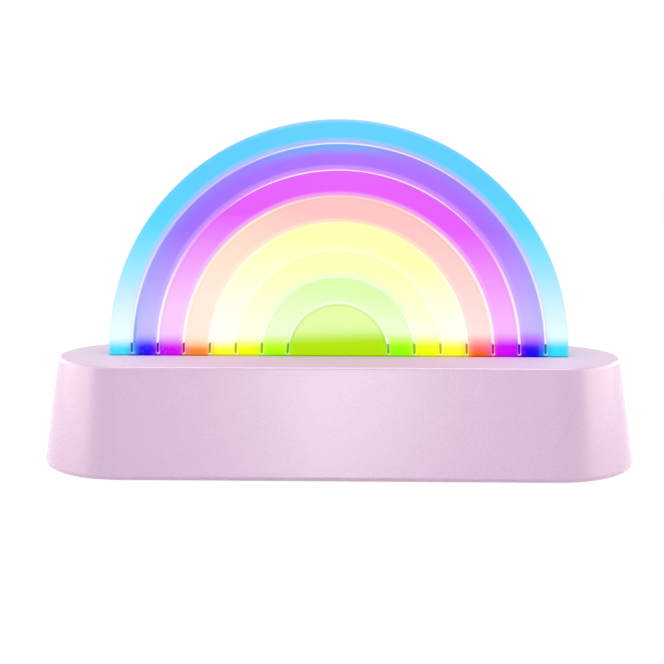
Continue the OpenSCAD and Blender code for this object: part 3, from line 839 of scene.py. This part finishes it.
class RainbowGlow(Finish):
    """Clear acrylic that lamps below it fill with coloured light, painted tint over tint.

    Its signals say where a point is, in millimetres: x, the height over the base, the radius from the arcs'
    centre, and how far apart it is from the nearest cut, outward. Its masks are the left, and near the cuts.
    """

    name = "acrylic"
    opacity: float = 0.93
    veil: float = 0.02
    body: float = 0.03
    coat: float = 0.12
    reach: float = 80.0
    tallest: float = 100.0
    edge_shift: float = 0.35
    leaning: float = 3.2
    shoulder: Hump = (0.1, 0.5, 1.1, 2.3)
    shadow_edge: Hump = (-1.5, -0.9, -0.8, -0.45)
    pale_line: Hump = (-0.5, -0.15, 0.25, 0.65)

    def __init__(self, plate: "LightPlate") -> None:
        """Keeps the plate, which has the sizes."""
        self.plate = plate

    def _locate(self, bench: ShaderBench) -> None:
        """Works out where a point is.

        Args:
            bench: The material's bench.
        """
        self.bench = bench
        self.x, _, z = bench.millimetres()
        self.height = z - self.plate.top_z
        arch = (z - self.plate.arc_z).at_least(0.0)
        self.radius = bench.math("SQRT", self.x * self.x + arch * arch)
        first, *_, last = self.plate.cuts()
        half_pitch = self.plate.cut_pitch / 2
        self.apart = bench.math("WRAP", self.radius - first, half_pitch, -half_pitch)
        self.cuts = self.radius.hump(first - 4.0, first - 3.9, last + 4.0, last + 4.1)
        self.left = self.x.fall(*LEFT)

    def _tint(self, share: Value, colour: Signal | Colour) -> None:
        """Mixes a share of a colour into the colour so far."""
        self.colour = self.bench.mix(share, self.colour, colour)

    def _outer(self, name: str) -> float:
        """Returns the radius of the outer edge of a band."""
        return self.plate.first_cut + self.plate.cut_pitch * [band.name for band in BANDS].index(name)

    def _inside(self, name: str) -> Signal:
        """Is 1 in a band, and 0 outside it."""
        inner, outer = (self._outer(name) + self.edge_shift - step for step in (self.plate.cut_pitch, 0))
        return self.radius.hump(inner, inner + 0.02, outer - 0.02, outer)

    def _by_band(self, values: Iterable[Colour | Point], outward: float = 0.0) -> Signal:
        """Returns one value for each band.

        Args:
            values: The bands' values, from the inside out.
            outward: How much farther out than the point to look.

        Returns:
            The value of the band there.
        """
        inner = [0.0, *((cut + self.edge_shift) / self.reach for cut in self.plate.cuts())]
        return self.bench.node("ShaderNodeValToRGB", {"stops": list(zip(inner, values))},
                               {"Fac": (self.radius + outward) / self.reach})

    def _spans(self, name: str, outward: float = 0.0) -> Signal:
        """Returns the heights that the bands give under a name, as shares of the tallest."""
        spans = [getattr(band, name) for band in BANDS]
        return self._by_band([(a / self.tallest, b / self.tallest, 0.0) for a, b in spans], outward)

    def _arch(self, outward: float = 0.0) -> Signal:
        """Returns the bands' colour above their feet: haze low down, and glow along the arch.

        Args:
            outward: How much farther out than the point to look.

        Returns:
            The colour.
        """
        mix = self.bench.mix
        ends = mix(self.left, self._spans("haze_right", outward), self._spans("haze_left", outward))
        low, high, _ = self.bench.parts(ends)
        grown = (self.height / self.tallest).rise(low, high, soft=False)
        pale = 0.22 * self.left * (self.radius + outward).rise(15.0, 42.0)
        haze = mix(pale, self._by_band([band.haze for band in BANDS], outward), WHITE)
        return mix(grown, haze, self._by_band([band.glow for band in BANDS], outward))

    def _feet_about(self, reach: float) -> Signal:
        """Returns the even mix of the foot colours at a distance inward and outward."""
        feet = [band.foot for band in BANDS]
        return self.bench.mix(0.5, self._by_band(feet, -reach), self._by_band(feet, reach))

    def _foot(self) -> Signal:
        """Returns the bands' colour at the lamps, which leans to the next band's near each cut.

        Returns:
            The colour, with specks of white on the left.
        """
        mix = self.bench.mix
        lean = 0.6 * self.cuts * abs(self.apart).fall(0.0, self.leaning)
        specks = 0.02 + 0.07 * self.bench.noise(1.3).rise(0.5, 0.75)
        leant = mix(lean, self._by_band([band.foot for band in BANDS]), self._feet_about(self.leaning))
        return mix(specks * self.radius.rise(40.0, 74.0) * self.left, leant, WHITE)

    def _blue_violet(self) -> None:
        """Tints the violet band blue: its left side, its outer side at the arch's top, and its left edge."""
        outer = self._outer("violet")
        violet = self._inside("violet") * self.height.rise(3.0, 8.0)
        slope = self.radius.rise(outer - 4.6, outer - 0.4)
        crest = abs(self.x + 4.0).fall(4.0, 30.0)
        edge = self.radius.hump(outer - 1.7, outer - 1.0, outer - 0.8, outer - 0.1)
        low = self.height.fall(7.0, 22.0) * self.x.fall(-60.0, -50.0)
        self._tint(0.2 * violet * self.x.fall(-50.0, 10.0), Colour(96, 124, 254))
        self._tint(violet * slope * (0.2 + 0.7 * crest), Colour(104, 178, 248))
        self._tint(0.6 * edge * low, Colour(74, 160, 232))

    def _peach_salmon(self) -> None:
        """Tints the salmon band to peach on its left side, and more so higher up."""
        share = 0.12 + 0.18 * self.height.rise(3.0, 12.0) + 0.3 * self.height.rise(20.0, 40.0)
        self._tint(share * self._inside("salmon") * self.x.fall(-44.0, -14.0), Colour(254, 236, 190))

    def _cut_lines(self) -> None:
        """Draws each cut's pale line, a painted shadow along its inner side, and a soft shoulder in the
        inner band's colour.
        """
        lines = self._by_band([band.line for band in BANDS], -self.plate.cut_pitch / 2)
        low, high, dark = self.bench.parts(lines)
        risen = self.height.rise(14.0, 44.0)
        above = self.cuts * self.height.rise(4.0, 4.6)
        spill = self.bench.mix(0.35, self._arch(-3.0), WHITE)
        self._tint(above * self.apart.hump(*self.shoulder) * (0.12 + 0.26 * risen), spill)
        # Painted shadow: a dark grey-green edge just inside each cut.
        self._tint(above * self.apart.hump(*self.shadow_edge) * dark, Colour(110, 140, 120))
        strength = low * (1 - risen) + high * risen
        self._tint(above * self.apart.hump(*self.pale_line) * strength, WHITE)

    def _cut_feet(self) -> None:
        """Paints shade into the slots that show at the feet of the cuts, and a painted highlight around
        each, stronger on its +X side.
        """
        # Painted shade: the slots at the cuts' feet are the foot colour darkened toward black.
        dark = self.bench.mix(0.55, self._feet_about(1.2), BLACK)
        below = (self.plate.arc_z - self.plate.top_z - self.height).at_least(0.0)
        mouth = self.bench.math("SQRT", self.apart * self.apart + below * below)
        low = self.cuts * self.height.fall(4.1, 4.5)
        # Painted highlight around each slot's foot, fading upward and stronger on the slot's +X side.
        painted_highlight = low * mouth.fall(0.45, 0.9) * (1 - 0.75 * self.height.rise(0.8, 1.8))
        rightward = (self.apart * (1 - 2 * self.left)).rise(-0.3, 0.3)
        self._tint(0.8 * painted_highlight * (0.4 + 0.6 * rightward), WHITE)
        self._tint(low * mouth.fall(0.3, 0.42), dark)

    def _rim(self) -> None:
        """Greys the rim at the arch's top, and paints a contact shadow on the foot of the plate where it
        enters the base.
        """
        edge = self.plate.radius
        crown = 1 - 0.7 * abs(self.x).rise(14.0, 44.0)
        self._tint(0.42 * self.radius.rise(edge - 1.3, edge - 0.1) * crown, Colour(206, 224, 228))
        # Painted contact shadow at the plate's foot, where it enters the base.
        self._tint(0.5 * self.height.fall(0.15, 0.7), BLACK)

    def paint(self, bench: ShaderBench) -> None:
        """Lays the arch over the feet, and then the tints, the cuts and the rim.

        Args:
            bench: The material's bench.
        """
        self._locate(bench)
        low, high, _ = bench.parts(self._spans("foot_end"))
        lifted = ((self.height + 0.9 * self.left) / self.tallest).rise(low, high)
        self.colour = bench.mix(lifted, self._foot(), self._arch())
        self._blue_violet()
        self._peach_salmon()
        for flush in FLUSHES:
            place = self._inside(flush.band) * self.height.hump(*flush.heights) * self.x.fall(*flush.fade)
            self._tint(flush.share * place, flush.colour)
        self._cut_lines()
        self._cut_feet()
        self._rim()
        unveiled = bench.vector("MULTIPLY_ADD", self.colour, (1 + self.veil,) * 3, (-self.veil,) * 3)
        bench.surface(Base_Color=bench.mix(self.body, BLACK, self.colour), Roughness=0.3,
                      Specular_IOR_Level=0.0, Coat_Roughness=0.24, Alpha=self.opacity,
                      Coat_Weight=self.coat * (1 - self.cuts * abs(self.apart).fall(0.3, 0.6)),
                      Emission_Color=bench.vector("MAXIMUM", unveiled, (0.0, 0.0, 0.0)),
                      Emission_Strength=1.0)


@dataclass
class LightPlate:
    """The clear half disc with its arc cuts, and the tongue that stands in the base."""

    radius: float = 77.099
    thickness: float = 8.0
    arc_z: float = 38.5
    top_z: float = 37.2
    tongue_half: float = 75.3
    tongue_z: float = 27.2
    notch_half: float = 0.8
    notch_top: float = 34.65
    first_cut: float = 16.9
    cut_pitch: float = 8.75
    cut_count: int = 7
    cut_half: float = 0.16
    edge: float = 0.25
    arch_steps: int = 180

    def cuts(self) -> list[float]:
        """Returns the cuts' radii."""
        return [self.first_cut + self.cut_pitch * i for i in range(self.cut_count)]

    def _draw(self) -> Shape:
        """Draws the arch, shoulders and notched tongue in one outline, and each cut with its round feet.

        Returns:
            The outlines.
        """
        shape, y, low_z = Shape(), self.edge - self.thickness / 2, self.tongue_z
        first = shape.point((self.radius, y, self.arc_z))
        last = shape.arc(first, (0, y, self.arc_z), Axis.TO_FRONT, 180, self.arch_steps)
        side = [(self.radius, self.top_z), (self.tongue_half, self.top_z), (self.tongue_half, low_z)]
        points = [(-x, z) for x, z in side]
        for middle in sorted([-r for r in self.cuts()] + self.cuts()):
            near, far = middle - self.notch_half, middle + self.notch_half
            points += [(near, low_z), (near, self.notch_top), (far, self.notch_top), (far, low_z)]
        points += reversed(side)
        shape.bm.edges.new((shape.line([(x, y, z) for x, z in points], last), first))
        for r in self.cuts():
            last = shape.point((r + self.cut_half, y, self.arc_z))
            for x, axis, steps in ((0, Axis.TO_FRONT, 48 + 2 * round(r / 2)), (-r, Axis.TO_FRONT, 8),
                                   (0, Axis.TO_BACK, 48 + 2 * round(r / 2)), (r, Axis.TO_FRONT, 8)):
                last = shape.arc(last, (x, y, self.arc_z), axis, 180, steps)
        return shape

    def build(self) -> None:
        """Builds the plate and puts it in place."""
        shape = self._draw()
        shape.slab(Axis.TO_BACK, self.thickness - 2 * self.edge)
        shape.ease(Axis.TO_BACK, self.edge)
        mount(shape.piece("light_plate"), Body.LAMP, RainbowGlow(self), "light_guide")


@dataclass
class PressButton:
    """The round push button in the recess, with its flange and stem."""

    x: float = -11.0
    port_z: float = 13.33
    face_y: float = 27.825
    flange_y: float = 23.225
    cap_r: float = 4.6
    flange_r: float = 6.0
    flange_t: float = 1.0
    flange_soft: float = 0.15
    round_r: float = 0.5
    stem_r: float = 1.6
    facets: int = 72
    finish: Finish = MouldedPlastic("button_plastic", Colour(240, 222, 238), Colour(237, 218, 235),
                                    roughness=0.34, grain=0.5, grain_depth=0.004)

    def build(self) -> None:
        """Builds the button, its cap and flange turned in one, and its stem, and puts it in place."""
        low, out, soft = self.flange_y, self.flange_r, self.flange_soft
        rim, face = low + self.flange_t, self.face_y - self.round_r
        outline = ((0.0, low), (out - soft, low), (out, low + soft), (out, rim - soft), (out - soft, rim),
                   (self.cap_r, rim), (self.cap_r, face))
        shape = Shape()
        last = shape.line([(self.x + r, y, self.port_z) for r, y in outline])
        last = shape.arc(last, (self.x + self.cap_r - self.round_r, face, self.port_z), Axis.UP, 90, 6)
        shape.line([(self.x, self.face_y, self.port_z)], last)
        bmesh.ops.spin(shape.bm, geom=[*shape.bm.verts, *shape.bm.edges], angle=math.tau, steps=self.facets,
                       cent=Vector((self.x, 0, self.port_z)) * MM, axis=Axis.TO_BACK.value, use_merge=True)
        shape.seal()
        end_y, root_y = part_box("power_button")[0].y, (self.flange_y + self.flange_t / 2) * MM
        low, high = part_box("switch_plunger")
        middle = Vector((self.x * MM, (end_y + root_y) / 2, (low.z + high.z) / 2))
        bmesh.ops.create_cone(shape.bm, cap_ends=True, segments=32, radius1=self.stem_r * MM,
                              radius2=self.stem_r * MM, depth=root_y - end_y,
                              matrix=Matrix.Translation(middle) @ Matrix.Rotation(math.pi / 2, 4, "X"))
        mount(shape.piece("push_button"), Body.BUTTON, self.finish, "power_button", 35.0)


@dataclass
class ChargingInlet:
    """The drawn steel shell of the inlet, and the tongue with contacts inside it."""

    x: float = 11.0
    z: float = 13.33
    half: float = 2.84
    outer_r: float = 1.63
    wall: float = 0.3
    rim: float = 0.1
    steel: Finish = PlatedMetal("inlet_steel", Colour(205, 207, 211), Colour(184, 187, 192),
                                lines=(1.0, 8.0, 1.0))

    def build(self) -> None:
        """Builds the shell and puts it in place, and dresses the tongue."""
        low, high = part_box("usb_shell")
        front, mouth = low.y / MM, high.y / MM
        shape = Shape()
        for r in (self.outer_r, self.outer_r - self.wall):
            shape.rounded((self.x, mouth - self.rim, self.z), (self.half + r, r), r, 12)
        shape.slab(Axis.TO_BACK, front - mouth + 2 * self.rim)
        shape.ease(Axis.TO_BACK, self.rim)
        mount(shape.piece("inlet_shell"), Body.LAMP, self.steel, "usb_shell")
        contacts = GoldContacts("inlet_contacts", Colour(34, 34, 37), Colour(232, 190, 104), self.x)
        contacts.dress(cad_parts["usb_tongue"])


@dataclass
class Underside:
    """The rubber feet. The cover and its screws are the model's own."""

    foot_r: float = 5.0
    round_r: float = 0.35
    facets: int = 72
    finish: Finish = SoftRubber("foot_rubber", Colour(160, 154, 161), Colour(140, 134, 142))

    def build(self) -> None:
        """Builds four feet with rounded rims, and puts them in place."""
        low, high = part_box("rubber_feet")
        shape = Shape()
        for x, y in ((-1, -1), (-1, 1), (1, -1), (1, 1)):
            middle = (x * (high.x - self.foot_r * MM), y * (high.y - self.foot_r * MM),
                      low.z + self.round_r * MM)
            bmesh.ops.create_circle(shape.bm, segments=self.facets, radius=self.foot_r * MM,
                                    matrix=Matrix.Translation(middle))
        shape.slab(Axis.UP, (high.z - low.z) / MM - 2 * self.round_r)
        bmesh.ops.dissolve_limit(shape.bm, angle_limit=0.01, verts=shape.bm.verts, edges=shape.bm.edges)
        shape.ease(Axis.UP, self.round_r)
        mount(shape.piece("soft_feet"), Body.LAMP, self.finish, "rubber_feet")


@dataclass
class Inside:
    """The pieces that keep the model's shapes, by the finish that they share."""

    finishes: tuple[tuple[Finish, tuple[str, ...]], ...] = (
        (MouldedPlastic("cover_plastic", Colour(224, 200, 222), Colour(220, 195, 219), 0.5, 0.5, 0.02),
         ("bottom_cover",)),
        (PlatedMetal("screw_steel", Colour(176, 179, 184), Colour(150, 153, 159)),
         ("tray_screws", "led_board_screws", "control_board_screws", "bracket_screws", "cover_screws")),
        (PlatedMetal("bracket_steel", Colour(198, 200, 204), Colour(180, 182, 187), lines=(1.0, 10.0, 1.0)),
         ("battery_bracket",)),
        (MouldedPlastic("connector_plastic", Colour(236, 230, 212), Colour(228, 220, 200), 0.4),
         ("led_sockets", "led_plugs", "battery_socket", "battery_plug")),
        (MouldedPlastic("black_plastic", Colour(40, 40, 43), Colour(30, 30, 33), 0.45),
         ("led_resistors", "control_chip", "charger_chip", "switch_body")),
        (MouldedPlastic("white_plastic", Colour(247, 247, 243), Colour(241, 241, 236), 0.55),
         ("light_tray", "switch_plunger")),
        (MouldedPlastic("capacitor_sleeve", Colour(58, 63, 92), Colour(48, 52, 80), 0.25, 0.6),
         ("board_capacitors",)),
        (SolderMask("white_board", Colour(240, 240, 234), Colour(226, 226, 218)), ("led_board",)),
        (SolderMask("green_board", Colour(30, 96, 60), Colour(44, 124, 76)), ("control_board",)),
        (LampLens("lamp_package", Colour(252, 250, 240), Colour(250, 236, 178)), ("leds",)),
        (SoftRubber("silicone", Colour(244, 244, 244), Colour(236, 236, 236), 0.5), ("plate_grips",)),
        (SoftRubber("wire_white", Colour(224, 224, 224), Colour(210, 210, 210), 0.5), ("led_wires",)),
        (SoftRubber("wire_red", Colour(196, 58, 50), Colour(176, 46, 42), 0.5), ("battery_wires",)),
        (PouchFoil("cell_foil", Colour(188, 193, 201), Colour(168, 173, 182)), ("battery",)),
        (SoftRubber("foam", Colour(52, 52, 56), Colour(36, 36, 40), 0.95), ("battery_pad",)),
    )

    def dress(self) -> None:
        """Gives every piece its finish."""
        for finish, names in self.finishes:
            finish.dress(*(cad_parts[name] for name in names))
            LOG.info("%s: %s", finish.name, ", ".join(names))


@dataclass(frozen=True)
class Softbox:
    """A rectangular studio lamp that points to the object. Its lengths are metres."""

    name: str
    place: Point
    size: Span
    power: float
    tint: Colour = WHITE
    aim: Point = (0.0, 0.0, 0.03)

    def build(self) -> None:
        """Builds the lamp and points it."""
        light = bpy.data.lights.new(self.name, "AREA")
        light.shape = "RECTANGLE"
        light.size, light.size_y = self.size
        light.energy = self.power
        light.color = self.tint.light()[:3]
        lamp = bpy.data.objects.new(self.name, light)
        lamp.location = self.place
        lamp.rotation_euler = (Vector(self.aim) - Vector(self.place)).to_track_quat("-Z", "Y").to_euler()
        bpy.context.scene.collection.objects.link(lamp)


@dataclass
class Studio:
    """The white floor and surroundings, the lamps and the camera. Its lengths are metres."""

    camera_place: Point = (0.006155, -0.391806, 0.102915)
    camera_turn: Point = (81.5753, -0.0634, 1.2139)
    lens: float = 63.5
    sensor: float = 36.0
    nearest: float = 0.01
    half_floor: float = 4.0
    floor_seen: float = 0.8
    floor_glow: float = 1.21
    paper: Colour = Colour(232, 232, 232)
    world_level: float = 0.15
    lamps: tuple[Softbox, ...] = (
        Softbox("front_strip", (-0.017, -1.25, 0.18), (0.11, 0.34), 1.8, Colour(246, 255, 252)),
        Softbox("top_box", (0.0, -0.28, 0.99), (1.0, 0.5), 7.8),
        *(Softbox(f"side_{side}", (x, -0.10, 0.28), (1.2, 0.7), 8.4, Colour(255, 252, 236))
          for side, x in (("left", -0.98), ("right", 0.98))),
        *(Softbox(f"back_{side}", (x, 0.82, 0.26), (0.7, 0.45), 5.0)
          for side, x in (("left", -0.82), ("right", 0.82))),
    )

    @staticmethod
    def _seen(bench: ShaderBench) -> Signal:
        """Is 1 for what the camera, gloss and clear plastic see, and 0 for what lights the object."""
        camera, gloss, clear = (bench.node("ShaderNodeLightPath", output=f"Is {ray} Ray")
                                for ray in ("Camera", "Glossy", "Transmission"))
        return camera.at_least(gloss).at_least(clear)

    def _floor(self) -> None:
        """Builds the floor: white, with the object's soft shadow kept."""
        shape = Shape()
        bmesh.ops.create_grid(shape.bm, x_segments=1, y_segments=1, size=self.half_floor)
        floor = shape.piece("floor")
        material = bpy.data.materials.new("floor_white")
        bench = ShaderBench(material)
        paper = bench.node("ShaderNodeBsdfDiffuse", None, {"Color": self.paper})
        glow = bench.node("ShaderNodeEmission", None, {"Color": WHITE, "Strength": self.floor_glow})
        both = bench.node("ShaderNodeMixShader", None,
                          {0: self._seen(bench) * self.floor_seen, 1: paper, 2: glow})
        bench.node("ShaderNodeOutputMaterial", None, {"Surface": both})
        floor.data.materials.append(material)

    def _world(self) -> None:
        """Builds the surroundings: white where they are seen, softer where they light."""
        world = bpy.data.worlds.new("surroundings")
        bpy.context.scene.world = world
        bench = ShaderBench(world)
        level = self.world_level + (1 - self.world_level) * self._seen(bench)
        sky = bench.node("ShaderNodeBackground", None, {"Color": WHITE, "Strength": level})
        bench.node("ShaderNodeOutputWorld", None, {"Surface": sky})

    def _camera(self) -> None:
        """Places the camera."""
        data = bpy.data.cameras.new("camera")
        data.lens = self.lens
        data.sensor_width = self.sensor
        data.clip_start = self.nearest
        camera = bpy.data.objects.new("camera", data)
        camera.location = self.camera_place
        camera.rotation_euler = [math.radians(angle) for angle in self.camera_turn]
        bpy.context.scene.collection.objects.link(camera)
        bpy.context.scene.camera = camera

    def build(self) -> None:
        """Builds the studio."""
        self._camera()
        self._floor()
        self._world()
        for lamp in self.lamps:
            lamp.build()
        bpy.context.scene.view_settings.view_transform = "Standard"


def main() -> None:
    """Builds the lamp and its studio."""
    logging.basicConfig(level=logging.INFO, format="%(name)s: %(message)s")
    Studio().build()
    BaseCase().build()
    LightPlate().build()
    PressButton().build()
    ChargingInlet().build()
    Underside().build()
    Inside().dress()


if __name__ == "__main__":
    main()
